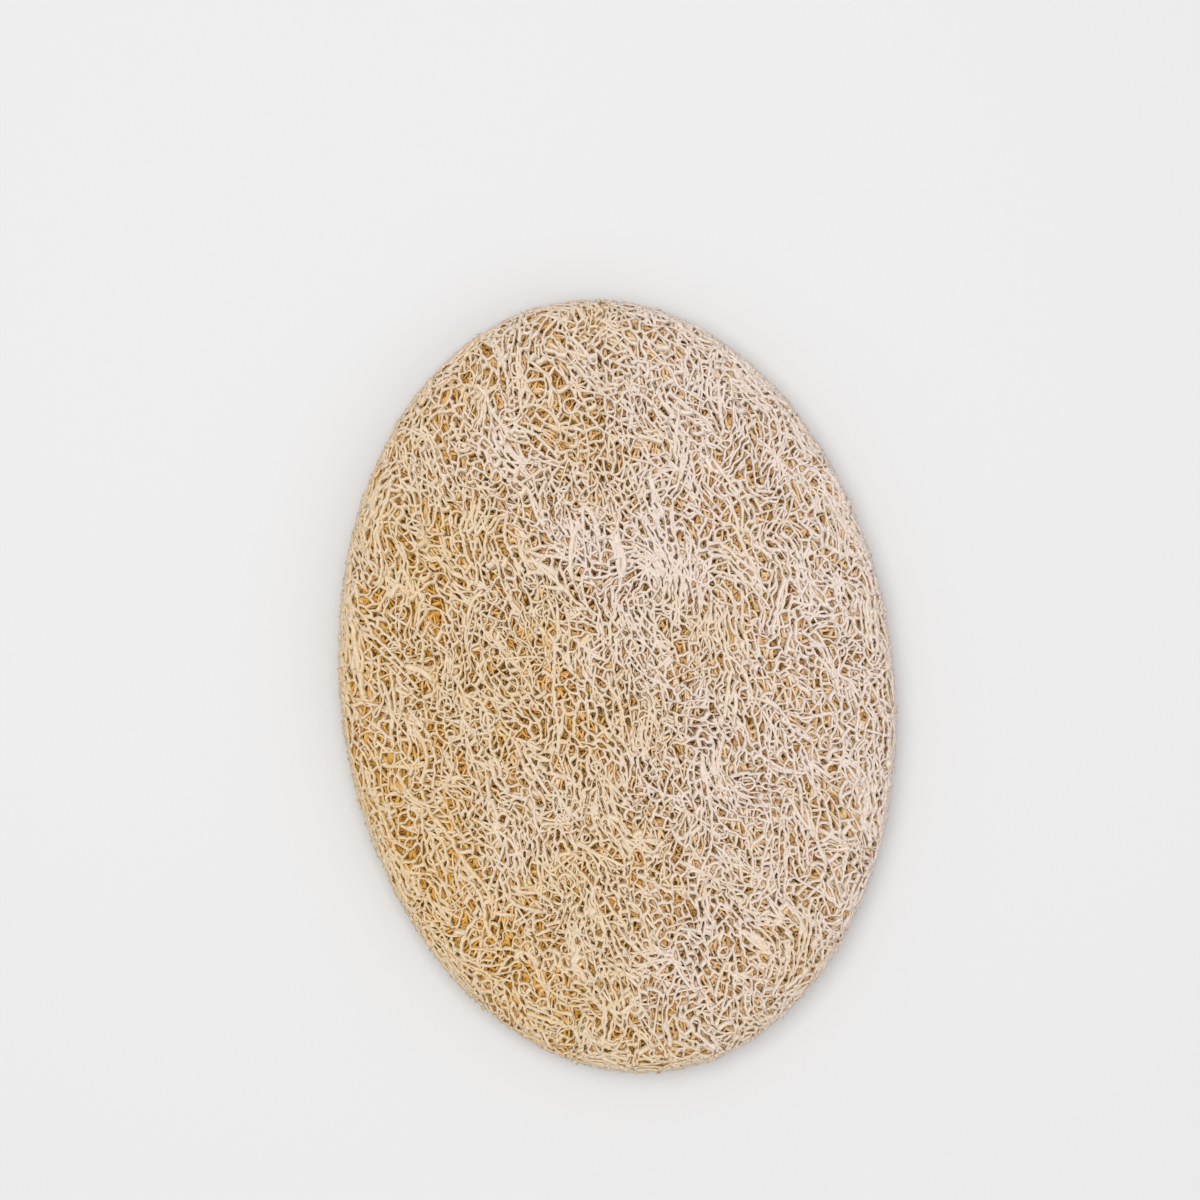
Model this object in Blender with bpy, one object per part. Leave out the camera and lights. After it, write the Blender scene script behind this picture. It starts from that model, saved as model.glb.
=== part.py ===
"""Oval scrubbing pad cut from one pressed piece of natural loofah.

The pad is one grown piece: the dried fibre skeleton of the gourd, pressed flat and cut to an oval.
It lies on its back, with its long axis along Y and its scrubbing face up. Units are metres.

The fibre net is a closed mesh of cells over the whole pad. It is laid out on a unit sphere, where it
can close without a seam, and then rolled out over the pad. Cell borders are the fibres. The floor of
each cell is sunk, so that the borders stand up as a raised net. The net is about three times as coarse
as the real one.
"""

import itertools
import math
import random

import bmesh
import bpy
from mathutils import Vector, noise

LENGTH = 0.155  # long axis of the oval, along Y
WIDTH = 0.1105  # short axis of the oval, along X
THICKNESS = 0.014  # at the middle of the pad, over the fibres

FACE_DROP = 0.0016  # how much lower the scrubbing face is where its rounded edge begins
EDGE_ROUND = 0.1  # share of the half width that the rounded edge takes
EDGE_LENGTH = 0.14  # length of half the edge's curve, as a share of the half width
REST_SHARE = 0.62  # share of the half width over which the back lies flat
BACK_RISE = 0.0012  # how far the back has risen where its rounded edge begins
SWELL = 0.0006  # height of the slow swells on the scrubbing face
SWELL_SIZE = 0.022  # distance over which a swell rises and falls

CELLS = 730  # gaps between the fibres, over both faces and the edge
SCATTER = 0.62  # how far a cell is moved off its even place, as a share of the cells' spacing
STRAIGHTEN_PASSES = 6  # passes that turn cell borders into fibres that run on through a joint
STRAIGHTEN_STEP = 0.4
SLOPE_WIDTH = 0.0012  # from a fibre's crest to the floor beside it, seen from above
SLOPE_SHARE = 0.5  # a slope takes no more than this share of its cell's half width
CORNER_LIMIT = 0.25  # keeps the corner of a floor from running far into a sharply pointed cell
GAP_DEPTH = 0.0022  # from a fibre's crest down to the floor beside it
GAP_DEPTH_SPREAD = 0.3  # how much depths differ from gap to gap, as a share
GAP_STEEPNESS = 2.0  # a gap is no deeper than this times the width of its slope
NARROWING = 0.8  # a slope too wide for its cell is narrowed by this, as often as it takes
REST_SPOT = 0.0075  # radius of the spot under the pad's middle that pressing left without gaps
REST_FLATNESS = 0.0001  # how high a cell of that spot may lie
SEED = 11

COLOUR = (0.80, 0.65, 0.45, 1.0)
ROUGHNESS = 0.75


def clear_scene():
    for thing in list(bpy.data.objects):
        bpy.data.objects.remove(thing)


def scattered_sphere_points(count, rng):
    """Points spread over the unit sphere along a golden-angle spiral, each moved a little at random."""
    golden_angle = math.pi * (3 - math.sqrt(5))
    spacing = math.sqrt(4 * math.pi / count)
    points = []
    for index in range(count):
        z = 1 - (2 * index + 1) / count
        ring = math.sqrt(1 - z * z)
        angle = index * golden_angle
        point = Vector((ring * math.cos(angle), ring * math.sin(angle), z))
        shift = Vector(rng.uniform(-1, 1) for _ in range(3)) * spacing * SCATTER / 2
        points.append((point + shift).normalized())
    return points


def faces_around(vert):
    """The faces at a vertex of a closed mesh, in order round it."""
    first = loop = vert.link_loops[0]
    ring = []
    while True:
        ring.append(loop.face)
        loop = loop.link_loop_prev.link_loop_radial_next
        if loop == first:
            return ring


def cell_mesh(points):
    """A closed mesh on the unit sphere with one cell round each point."""
    hull = bmesh.new()
    for point in points:
        hull.verts.new(point)
    bmesh.ops.convex_hull(hull, input=hull.verts)
    bmesh.ops.recalc_face_normals(hull, faces=hull.faces)
    cells = bmesh.new()
    corner = {face: cells.verts.new(face.calc_center_median().normalized()) for face in hull.faces}
    for vert in hull.verts:
        cells.faces.new([corner[face] for face in faces_around(vert)])
    hull.free()
    bmesh.ops.recalc_face_normals(cells, faces=cells.faces)
    return cells


def straightest_pair(vert):
    """The two neighbours of a joint whose borders meet most nearly in a straight line."""
    neighbours = [edge.other_vert(vert) for edge in vert.link_edges]
    towards = {other: (other.co - vert.co).normalized() for other in neighbours}
    pairs = itertools.combinations(neighbours, 2)
    return min(pairs, key=lambda pair: towards[pair[0]].dot(towards[pair[1]]))


def straighten_fibres(cells):
    """Moves each joint towards the line between two of its neighbours, so that a fibre runs on through it."""
    through = {vert: straightest_pair(vert) for vert in cells.verts}
    for _ in range(STRAIGHTEN_PASSES):
        moved = {}
        for vert, (a, b) in through.items():
            moved[vert] = vert.co.lerp((a.co + b.co) / 2, STRAIGHTEN_STEP).normalized()
        for vert, place in moved.items():
            vert.co = place


def swell(x, y):
    """Height of the slow swells at a place on the scrubbing face."""
    return SWELL * noise.noise(Vector((x, y, 0)) / SWELL_SIZE)


def on_pad(point):
    """The place on the pad of a point on the unit sphere. The equator is the middle of the pad's edge."""
    reach = math.sqrt(max(0.0, 1 - abs(point.z))) * (1 + EDGE_LENGTH)
    direction = Vector((point.x, point.y)).normalized() if point.xy.length > 0 else Vector((1, 0))
    face_end = 1 - EDGE_ROUND
    if reach < face_end:
        share, turn = reach, 0.0
    else:
        turn = (reach - face_end) / (1 + EDGE_LENGTH - face_end) * math.pi / 2
        share = face_end + EDGE_ROUND * math.sin(turn)
    x = direction.x * share * WIDTH / 2
    y = direction.y * share * LENGTH / 2
    middle = THICKNESS / 2
    along_face = min(reach, face_end) / face_end
    if point.z >= 0:
        rise = middle - FACE_DROP * along_face**2 + swell(x, y) * math.cos(turn)
    else:
        past_rest = max(0.0, along_face - REST_SHARE) / (1 - REST_SHARE)
        rise = BACK_RISE * past_rest**2 - middle
    return Vector((x, y, middle + rise * math.cos(turn)))


def fit_to_size(cells):
    """Scales the net slightly so that its box is the pad's exact size, centred over the origin."""
    lows = [min(vert.co[axis] for vert in cells.verts) for axis in range(3)]
    highs = [max(vert.co[axis] for vert in cells.verts) for axis in range(3)]
    sizes = (WIDTH, LENGTH, THICKNESS)
    for vert in cells.verts:
        for axis, size in enumerate(sizes):
            share = (vert.co[axis] - lows[axis]) / (highs[axis] - lows[axis])
            vert.co[axis] = share * size - (0 if axis == 2 else size / 2)


def floor_corners(corners, normal, width):
    """The corners of a cell's floor, before it is sunk: every side of the cell moved in by the width."""
    moved = []
    for index, corner in enumerate(corners):
        before = corners[index - 1]
        after = corners[(index + 1) % len(corners)]
        inward = normal.cross(corner - before).normalized()
        halfway = (inward + normal.cross(after - corner).normalized()).normalized()
        moved.append(corner + halfway * width / max(CORNER_LIMIT, halfway.dot(inward)))
    return moved


def sides_turned(corners, moved):
    """Whether moving a cell's sides in has turned one of them round."""
    for index, corner in enumerate(corners):
        if (corner - corners[index - 1]).dot(moved[index] - moved[index - 1]) <= 0:
            return True
    return False


def sink_gaps(cells, rng):
    """Sinks the floor of each cell between its borders. The cells of the rest spot stay flat."""
    for face in list(cells.faces):
        centre = face.calc_center_median()
        if centre.z < REST_FLATNESS and centre.xy.length < REST_SPOT:
            continue
        corners = [vert.co.copy() for vert in face.verts]
        half_width = 2 * face.calc_area() / face.calc_perimeter()
        width = min(SLOPE_WIDTH, SLOPE_SHARE * half_width)
        moved = floor_corners(corners, face.normal, width)
        while sides_turned(corners, moved):
            width *= NARROWING
            moved = floor_corners(corners, face.normal, width)
        depth = GAP_DEPTH * rng.uniform(1 - GAP_DEPTH_SPREAD, 1 + GAP_DEPTH_SPREAD)
        sunk = face.normal * min(depth, GAP_STEEPNESS * width)
        floor = [cells.verts.new(place - sunk) for place in moved]
        rim = list(face.verts)
        cells.faces.remove(face)
        cells.faces.new(floor)
        for index in range(len(rim)):
            cells.faces.new((rim[index - 1], rim[index], floor[index], floor[index - 1]))


def loofah_material():
    material = bpy.data.materials.new("dried_loofah")
    material.use_nodes = True
    shader = material.node_tree.nodes["Principled BSDF"]
    shader.inputs["Base Color"].default_value = COLOUR
    shader.inputs["Roughness"].default_value = ROUGHNESS
    shader.inputs["Metallic"].default_value = 0.0
    return material


def make_pad():
    rng = random.Random(SEED)
    cells = cell_mesh(scattered_sphere_points(CELLS, rng))
    straighten_fibres(cells)
    for vert in cells.verts:
        vert.co = on_pad(vert.co)
    fit_to_size(cells)
    cells.normal_update()
    sink_gaps(cells, rng)
    bmesh.ops.triangulate(cells, faces=cells.faces)
    mesh = bpy.data.meshes.new("loofah_pad")
    cells.to_mesh(mesh)
    cells.free()
    mesh.materials.append(loofah_material())
    pad = bpy.data.objects.new("loofah_pad", mesh)
    bpy.context.scene.collection.objects.link(pad)
    return pad


clear_scene()
make_pad()
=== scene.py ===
"""Looks of the oval loofah pad, built fibre by fibre.

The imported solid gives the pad's size and place. The fibre skeleton that replaces it here is made in
layers, each a net that closes over both faces and round the edge, with loose strands, star joints and
small loops lying in the outermost one. Every fibre is a closed tube that follows a smooth curve.

A net is laid out on the unit sphere, where it can close without a seam, and is then rolled out over
the pad. A place is given as a point of the disc that half the sphere unrolls to, a side (1 for the
scrubbing face, -1 for the back) and a depth below the pad's skin. Units are metres.
"""

import math
from collections import namedtuple

import bmesh
import bpy
import numpy as np
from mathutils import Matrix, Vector, noise


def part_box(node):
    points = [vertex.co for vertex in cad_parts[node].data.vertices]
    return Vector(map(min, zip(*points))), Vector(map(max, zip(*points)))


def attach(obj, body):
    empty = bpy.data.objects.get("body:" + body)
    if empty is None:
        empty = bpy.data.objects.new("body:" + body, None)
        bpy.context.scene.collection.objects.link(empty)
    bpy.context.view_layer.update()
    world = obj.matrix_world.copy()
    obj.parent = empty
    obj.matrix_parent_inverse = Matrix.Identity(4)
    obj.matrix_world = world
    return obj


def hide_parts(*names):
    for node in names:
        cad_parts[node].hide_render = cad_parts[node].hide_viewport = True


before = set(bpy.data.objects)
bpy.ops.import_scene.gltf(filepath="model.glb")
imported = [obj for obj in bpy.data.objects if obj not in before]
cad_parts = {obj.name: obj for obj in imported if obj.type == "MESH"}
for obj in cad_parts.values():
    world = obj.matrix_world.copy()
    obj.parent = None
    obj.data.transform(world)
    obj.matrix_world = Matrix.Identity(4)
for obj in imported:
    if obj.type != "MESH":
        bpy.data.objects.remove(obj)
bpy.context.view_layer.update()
PAD_LOW, PAD_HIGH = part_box("loofah_pad")
WIDTH, LENGTH, THICKNESS = PAD_HIGH - PAD_LOW

# The pad's skin
FACE_DROP = 0.0016  # how much lower the scrubbing face is where its rounded edge begins
EDGE_ROUND = 0.1  # share of the half width that the rounded edge takes
EDGE_LENGTH = 0.09  # what the curve of the edge adds to the half width's length, as a share of it
REST_SHARE = 0.62  # share of the half width over which the back lies flat
BACK_RISE = 0.0012  # how far the back has risen where its rounded edge begins
SWELL = 0.0006  # height of the slow swells on the scrubbing face
SWELL_SIZE = 0.022  # distance over which a swell rises and falls
DISC_RADIUS = 1 + EDGE_LENGTH  # the disc's rim is the middle of the pad's edge
FACE_END = 1 - EDGE_ROUND

# The photograph looks straight down on the pad
PHOTO_PIXELS = 1200
PIXEL = 0.0001995  # size of a pixel at the pad
PAD_AT_PIXEL = (617.3, 686.1)
PAD_LEAN = math.radians(7.25)  # the top of the pad leans left
LENS = 85.0
SENSOR = 36.0

FACE, BACK = 1.0, -1.0
SEED = 20
GOLDEN_ANGLE = math.pi * (3 - math.sqrt(5))
GROWTH_ANGLE = math.radians(118)  # the way that most fibres run, from the X axis

# A layer of fibres: how many cells close its net, how deep it lies and how far it wanders up and down,
# the fibres' radius, how many sides their tubes have, and how closely their curves are sampled
Layer = namedtuple("Layer", "cells depth wander radius sides spacing")
OUTER_NET = Layer(6600, 0.00040, 0.00022, 0.00034, 3, 0.0006)
UNDER_NET = Layer(5400, 0.00104, 0.00035, 0.00033, 3, 0.00095)
DEEP_NET = Layer(4300, 0.00180, 0.00040, 0.00048, 3, 0.0012)
STRAND = Layer(0, 0.00034, 0.00022, 0.00028, 4, 0.0008)
BACK_SPACING = 0.0009  # the back, which lies on the table, takes fewer samples
SHORT = Layer(0, 0, 0, 0.00022, 3, 0.0012)
CUT = Layer(0, 0, 0, 0.00026, 3, 0.0010)
RADIUS_SPREAD = 0.24  # how much radii differ from fibre to fibre
FLARE = 1.5  # how much thicker a fibre is where it grows out of another


def unit(vectors):
    return vectors / np.maximum(np.linalg.norm(vectors, axis=-1, keepdims=True), 1e-12)


# Places on the pad

JUST_BELOW = 0.001  # the outward direction at a place comes from one that lies this much deeper


def disc_points(directions):
    """Unrolls points of the unit sphere: their disc points, and their sides."""
    height = np.abs(directions[:, 2])
    reach = np.sqrt(np.clip(1 - height, 0, None) / (1 + height)) * DISC_RADIUS
    sides = np.where(directions[:, 2] >= 0, FACE, BACK)
    return unit(directions[:, :2]) * reach[:, None], sides


def swells(x, y):
    """Height of the slow swells on the scrubbing face."""
    return SWELL * np.array([noise.noise(Vector((a, b, 0)) / SWELL_SIZE) for a, b in zip(x, y)])


def places_in_pad(disc, sides, depths):
    """Places for disc points, at depths below the pad's skin."""
    reach = np.linalg.norm(disc, axis=1)
    along = unit(disc)
    turn = np.clip((reach - FACE_END) / (DISC_RADIUS - FACE_END), 0, 1) * math.pi / 2
    share = np.where(reach < FACE_END, reach, FACE_END + EDGE_ROUND * np.sin(turn))
    x = along[:, 0] * share * (WIDTH / 2 - depths)
    y = along[:, 1] * share * (LENGTH / 2 - depths)
    on_face = np.minimum(reach, FACE_END) / FACE_END
    past_rest = np.clip(on_face - REST_SHARE, 0, None) / (1 - REST_SHARE)
    lowered = np.where(sides > 0, FACE_DROP * on_face**2 - swells(x, y), BACK_RISE * past_rest**2)
    height = (THICKNESS / 2 - lowered - depths) * np.cos(turn)
    return np.stack([x, y, THICKNESS / 2 + sides * height], axis=1)


def control_rows(disc, sides, depths, radii):
    """Rows that a fibre's curve runs through: place, outward direction and radius."""
    places = places_in_pad(disc, sides, depths)
    below = places_in_pad(disc, sides, depths + JUST_BELOW)
    return np.column_stack([places, unit(places - below), radii])


# Tubes

FLAT_WIDE, FLAT_HIGH = 1.15, 0.88  # a fibre is a little wider than it is high
FIBRE_WIDTH = 0.0006  # the streaks along a fibre are measured in this width
STREAK_STARTS = 1000.0  # how many widths apart the streaks of two fibres may begin
MAP_SLACK = 1.03  # extra length of the map's rows, which can't all be filled to their ends
STRIP_MARGIN = 0.1  # free border of a fibre's strip on the map, as a share of the width of a wall
CAP_SIZE = 0.8  # size of a fibre's end on the map, as a share of the room it has

# The tubes of a piece as one list of rings: their middles, outward directions and radii, which of them
# start and end a tube, the number of their fibre, and the turns at which their corners lie
Tubes = namedtuple("Tubes", "places out radii first last fibre turns")


def curve_samples(paths, spacing):
    """Rows along a smooth curve through each path, and the index where each curve starts.

    The first and the last row of a path only steer the curve's ends.
    """
    spans, counts, starts, total = [], [], [], 0
    for path in paths:
        starts.append(total)
        lengths = np.linalg.norm(np.diff(path[1:-1, :3], axis=0), axis=1)
        steps = np.maximum(1, np.round(lengths / spacing).astype(int))
        padded = np.vstack([path, path[-1:]])
        spans.extend(padded[k : k + 4] for k in range(len(path) - 2))
        counts.extend(steps)
        counts.append(1)
        total += steps.sum() + 1
    spans, counts = np.array(spans), np.array(counts)
    which = np.repeat(np.arange(len(counts)), counts)
    order = np.arange(total) - np.repeat(np.cumsum(counts) - counts, counts)
    t = (order / counts[which])[:, None]
    before, here, after, beyond = (spans[which, k] for k in range(4))
    rows = here + 0.5 * (
        (after - before) * t
        + (2 * before - 5 * here + 4 * after - beyond) * t**2
        + (3 * here - before - 3 * after + beyond) * t**3
    )
    return rows, np.array(starts)


def tubes_along(paths, layer):
    """The rings of the tubes that follow these paths. No ring reaches below what the pad lies on."""
    rows, starts = curve_samples(paths, layer.spacing)
    places, out, radii = rows[:, :3], unit(rows[:, 3:6]), rows[:, 6]
    places[:, 2] = np.maximum(places[:, 2], FLAT_HIGH * radii)
    first = np.zeros(len(rows), bool)
    first[starts] = True
    turns = np.arange(layer.sides) * 2 * math.pi / layer.sides + math.pi / 2
    return Tubes(places, out, radii, first, np.roll(first, -1), np.cumsum(first) - 1, turns)


def tube_corners(tubes):
    """The corners of every ring, which stands square to its fibre's run."""
    index = np.arange(len(tubes.places))
    ahead = tubes.places[index + ~tubes.last]
    behind = tubes.places[index - ~tubes.first]
    tangents = unit(ahead - behind)
    across = unit(np.cross(tangents, tubes.out))
    up = np.cross(across, tangents)
    wide = across[:, None] * (FLAT_WIDE * np.cos(tubes.turns))[:, None]
    high = up[:, None] * (FLAT_HIGH * np.sin(tubes.turns))[:, None]
    return (tubes.places[:, None] + tubes.radii[:, None, None] * (wide + high)).reshape(-1, 3)


def tube_faces(tubes):
    """The faces between the corners: all walls, then the caps at the starts, then those at the ends."""
    sides = len(tubes.turns)
    ring = np.arange(len(tubes.places))[:, None] * sides
    side = np.arange(sides)
    next_side = (side + 1) % sides
    here = ring[~tubes.last]
    ahead = here + sides
    walls = np.stack([here + side, ahead + side, ahead + next_side, here + next_side], axis=2)
    start_caps = ring[tubes.first] + side
    end_caps = ring[tubes.last] + side[::-1]
    return walls.reshape(-1, 4).tolist() + start_caps.tolist() + end_caps.tolist()


def lengths_so_far(tubes):
    """How far along its fibre each ring lies."""
    steps = np.linalg.norm(tubes.places - np.roll(tubes.places, 1, axis=0), axis=1) * ~tubes.first
    run = np.cumsum(steps)
    return run - run[tubes.first][tubes.fibre]


def strips_on_map(lengths, girth):
    """Lays fibres end to end in rows of a square map.

    Gives each one's row and where it begins there, the length of a row, and how many rows there are.
    """
    row_length = MAP_SLACK * math.sqrt(lengths.sum() * girth) + lengths.max()
    rows, begins, row, used = [], [], 0, 0.0
    for length in lengths:
        if used + length > row_length:
            row, used = row + 1, 0.0
        rows.append(row)
        begins.append(used)
        used += length
    return np.array(rows), np.array(begins), row_length, row + 1


def map_places(tubes, run):
    """Where each corner of each face lies on the map, in the order of the faces."""
    sides = len(tubes.turns)
    lengths = run[tubes.last] + 4 * tubes.radii[tubes.last]
    girth = 2 * math.pi * tubes.radii.mean()
    strip, begin, row_length, strips = strips_on_map(lengths, girth)
    u = (begin[tubes.fibre] + 2 * tubes.radii + run) / row_length
    v = strip[tubes.fibre]
    here = np.flatnonzero(~tubes.last)
    edge = (np.arange(sides) + STRIP_MARGIN) / (sides + 2 * STRIP_MARGIN)
    next_edge = edge + 1 / (sides + 2 * STRIP_MARGIN)
    wall_u = np.stack([u[here], u[here + 1], u[here + 1], u[here]], axis=1)
    wall_u = np.repeat(wall_u, sides, axis=0)
    wall_v = v[here][:, None, None] + np.stack([edge, edge, next_edge, next_edge], axis=1)
    cap = (tubes.radii / row_length)[:, None]
    cap_u = CAP_SIZE * np.cos(tubes.turns)
    cap_v = 0.5 + CAP_SIZE / 2 * np.sin(tubes.turns)
    start_u = (u[:, None] - cap + cap * cap_u)[tubes.first]
    end_u = (u[:, None] + cap + cap * cap_u[::-1])[tubes.last]
    start_v = v[tubes.first][:, None] + cap_v
    end_v = v[tubes.last][:, None] + cap_v[::-1]
    all_u = np.concatenate([wall_u.ravel(), start_u.ravel(), end_u.ravel()])
    all_v = np.concatenate([wall_v.ravel(), start_v.ravel(), end_v.ravel()]) / strips
    return np.column_stack([all_u, all_v])


def new_object(name, data):
    thing = bpy.data.objects.new(name, data)
    bpy.context.scene.collection.objects.link(thing)
    return thing


def make_piece(name, mesh, material):
    mesh.shade_smooth()
    mesh.materials.append(material)
    piece = new_object(name, mesh)
    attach(piece, "root")
    return piece


def fibre_piece(name, paths, layer, material, rng):
    """One mesh of closed tubes, a tube for each path, with a map that runs along and round each."""
    tubes = tubes_along(paths, layer)
    mesh = bpy.data.meshes.new(name)
    mesh.from_pydata(tube_corners(tubes).tolist(), [], tube_faces(tubes))
    run = lengths_so_far(tubes)
    uv = mesh.uv_layers.new(name="OFBake")
    uv.uv.foreach_set("vector", map_places(tubes, run).astype(np.float32).ravel())

    # For the material: how a corner is turned round its fibre, which sets the painted shade on its
    # flanks, how far along it lies, and a fibre's tone
    begins = rng.uniform(0, STREAK_STARTS, len(paths))[tubes.fibre]
    along = np.repeat(begins + run / FIBRE_WIDTH, layer.sides)
    around = np.tile(np.column_stack([np.cos(tubes.turns), np.sin(tubes.turns)]), (len(run), 1))
    grain = mesh.attributes.new("along_fibre", "FLOAT_VECTOR", "POINT")
    grain.data.foreach_set("vector", np.column_stack([around, along]).astype(np.float32).ravel())
    tone = mesh.attributes.new("fibre_tone", "FLOAT", "POINT")
    tones = rng.uniform(0, 1, len(paths))[tubes.fibre]
    tone.data.foreach_set("value", np.repeat(tones, layer.sides).astype(np.float32))
    return make_piece(name, mesh, material)


# Nets

FACE_SHARE = 0.62  # of a net's cells, the share on the scrubbing face, where the net is finer
SCATTER = 0.85  # how far a cell is moved off its even place, as a share of the cells' spacing
NOISE_REACH = 9.0  # each noise field starts at a random place no further out than this
DRIFTS = ((0.035, 4.0), (0.010, 13.0))  # how far growth moved the knots, and the scale of that noise
SWIRLS = 380  # places where growth turned the knots
SWIRL_SIZES = (0.035, 0.09)  # radius, in the disc's units
SWIRL_TURN = 1.1  # the most that a swirl turns its middle, in radians
SWIRL_REACH = 2.2  # how far out a swirl still turns the knots, in radii
GRAIN = 0.65  # how much a fibre would rather run on along the growth than straight
STRAIGHTEN_PASSES = 4  # passes that turn cell borders into fibres that run on through a joint
STRAIGHTEN_STEP = 0.4
WAVES = ((0.3, 22.0), (0.9, 60.0))  # height and scale of the waves that a net rises and falls in
MERGE = 1.5  # how strongly the end of a fibre bends into the run of the one that it meets
THINNED = 0.6  # of the single cell borders across the growth, the share that carries no fibre
ACROSS_GRAIN = 0.8  # how thick a fibre across the growth is, against one that runs along it
KNOT_RADII = (0.9, 1.12)  # between which shares of a fibre's radius it lies at each joint
BOW = 0.15  # how far a length of fibre bows to one side, as a share of that length
WEB, WAIST = 1.2, 0.92  # how much thicker a fibre of the outer net is at a joint than between two


def scattered_directions(count, rng):
    """Scattered points of the unit sphere that lie about evenly on the pad once unrolled."""
    order = np.arange(count)
    from_middle = np.interp((order + 0.5) / count, [0, FACE_SHARE, 1], [0, 1, 2])
    area = np.minimum(from_middle, 2 - from_middle)
    height = (1 - area) / (1 + area)
    ring = np.sqrt(1 - height**2)
    angle = order * GOLDEN_ANGLE
    z = np.where(from_middle < 1, height, -height)
    even = np.column_stack([ring * np.cos(angle), ring * np.sin(angle), z])
    spacing = (1 + height) * math.sqrt(2 * math.pi / count)
    return unit(even + rng.uniform(-1, 1, (count, 3)) * spacing[:, None] * SCATTER / 2)


def triangles_over(directions):
    """The triangles of the closed skin over points of the unit sphere, always in the same order."""
    skin = bmesh.new()
    for direction in directions:
        skin.verts.new(direction)
    bmesh.ops.convex_hull(skin, input=skin.verts)
    bmesh.ops.recalc_face_normals(skin, faces=skin.faces)
    skin.verts.index_update()
    triangles = np.array([[vert.index for vert in face.verts] for face in skin.faces])
    skin.free()
    lowest = np.argmin(triangles, axis=1)[:, None]
    triangles = np.take_along_axis(triangles, (lowest + np.arange(3)) % 3, axis=1)
    return triangles[np.lexsort(triangles.T[::-1])]


def knots_between(directions):
    """The knots of the net whose cells lie round these points, and each knot's three neighbours."""
    triangles = triangles_over(directions)
    starts = triangles.ravel()
    ends = np.roll(triangles, -1, axis=1).ravel()
    edges = starts * len(directions) + ends
    turned = ends * len(directions) + starts
    order = np.argsort(edges)
    neighbours = order[np.searchsorted(edges[order], turned)] // 3
    return unit(directions[triangles].mean(axis=1)), neighbours.reshape(-1, 3)


def noise_start(rng):
    return Vector(rng.uniform(-NOISE_REACH, NOISE_REACH, 3))


def drawn_out(knots, rng):
    """Knots moved by growth, which draws the cells out this way and that, and into swirls."""
    offset = noise_start(rng)
    for drift, scale in DRIFTS:
        moves = np.array([noise.noise_vector(Vector(knot) * scale + offset) for knot in knots])
        knots = unit(knots + drift * moves)
    for centre in rng.permutation(scattered_directions(SWIRLS, rng)):
        size = rng.uniform(*SWIRL_SIZES) * (1 + abs(centre[2]))
        away = np.linalg.norm(knots - centre, axis=1) / size
        near = away < SWIRL_REACH
        turn = (rng.uniform(-SWIRL_TURN, SWIRL_TURN) * np.exp(-(away[near] ** 2)))[:, None]
        held = knots[near]
        lifted = centre * (held * centre).sum(axis=1)[:, None] * (1 - np.cos(turn))
        knots[near] = held * np.cos(turn) + np.cross(centre, held) * np.sin(turn) + lifted
    return knots


def along_growth(directions):
    """How nearly directions on the pad run along the way of growth, from 0 to 1."""
    return np.abs((directions * [math.cos(GROWTH_ANGLE), math.sin(GROWTH_ANGLE), 0]).sum(axis=-1))


def linked_through(places, neighbours):
    """Each knot's neighbours, with the two that one fibre joins through it first and its branch last."""
    towards = unit(places[neighbours] - places[:, None])
    orders = np.array([(0, 1, 2), (1, 2, 0), (2, 0, 1)])
    bends = []
    for a, b, _ in orders:
        straight = (towards[:, a] * towards[:, b]).sum(axis=1)
        bends.append(straight - GRAIN * along_growth(unit(towards[:, a] - towards[:, b])))
    return np.take_along_axis(neighbours, orders[np.argmin(bends, axis=0)], axis=1)


def straightened(knots, linked):
    """Knots moved towards the line between the two neighbours that one fibre joins."""
    for _ in range(STRAIGHTEN_PASSES):
        middles = (knots[linked[:, 0]] + knots[linked[:, 1]]) / 2
        knots = unit(knots + STRAIGHTEN_STEP * (middles - knots))
    return knots


def fibre_runs(linked):
    """The knots that each fibre of a net passes, and whether it closes on itself.

    A fibre that doesn't close ends where it meets another.
    """
    linked = linked.tolist()
    runs, done, passed = [], set(), set()
    for start, (_, _, branch) in enumerate(linked):
        if (start, branch) in done:
            continue
        run = [start, branch]
        while linked[run[-1]][2] != run[-2]:
            left, right, _ = linked[run[-1]]
            passed.add(run[-1])
            run.append(right if run[-2] == left else left)
        done.add((run[-1], run[-2]))
        runs.append((run, False))
    for start in range(len(linked)):
        if start in passed:
            continue
        run = [start, linked[start][0]]
        passed.add(start)
        while run[-1] != start:
            left, right, _ = linked[run[-1]]
            passed.add(run[-1])
            run.append(right if run[-2] == left else left)
        runs.append((run, True))
    return runs


def steering_knot(knots, linked, end, before):
    """The knot that a fibre bends towards as it meets another at its end."""
    heading = knots[end] - knots[before]
    return max(linked[end][:2], key=lambda knot: np.dot(knots[knot] - knots[end], heading))


def waves(knots, offset):
    """How far a net rises and falls at its knots."""
    rise = np.zeros(len(knots))
    for height, scale in WAVES:
        rise += height * np.array([noise.noise(Vector(knot) * scale + offset) for knot in knots])
    return rise


def bowed(path, rng):
    """A path with rows added between its knots, so that each length of fibre bows to one side."""
    knots = path[1:-1]
    middles = (knots[:-1] + knots[1:]) / 2
    sideways = np.cross(middles[:, 3:6], np.diff(knots[:, :3], axis=0))
    middles[:, :3] += sideways * rng.normal(0, BOW, (len(middles), 1))
    middles[:, 6] *= WAIST
    knots[:, 6] *= WEB
    rows = np.empty((len(path) + len(middles), 7))
    rows[0], rows[-1] = path[0], path[-1]
    rows[1:-1:2], rows[2:-2:2] = knots, middles
    return rows


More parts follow.
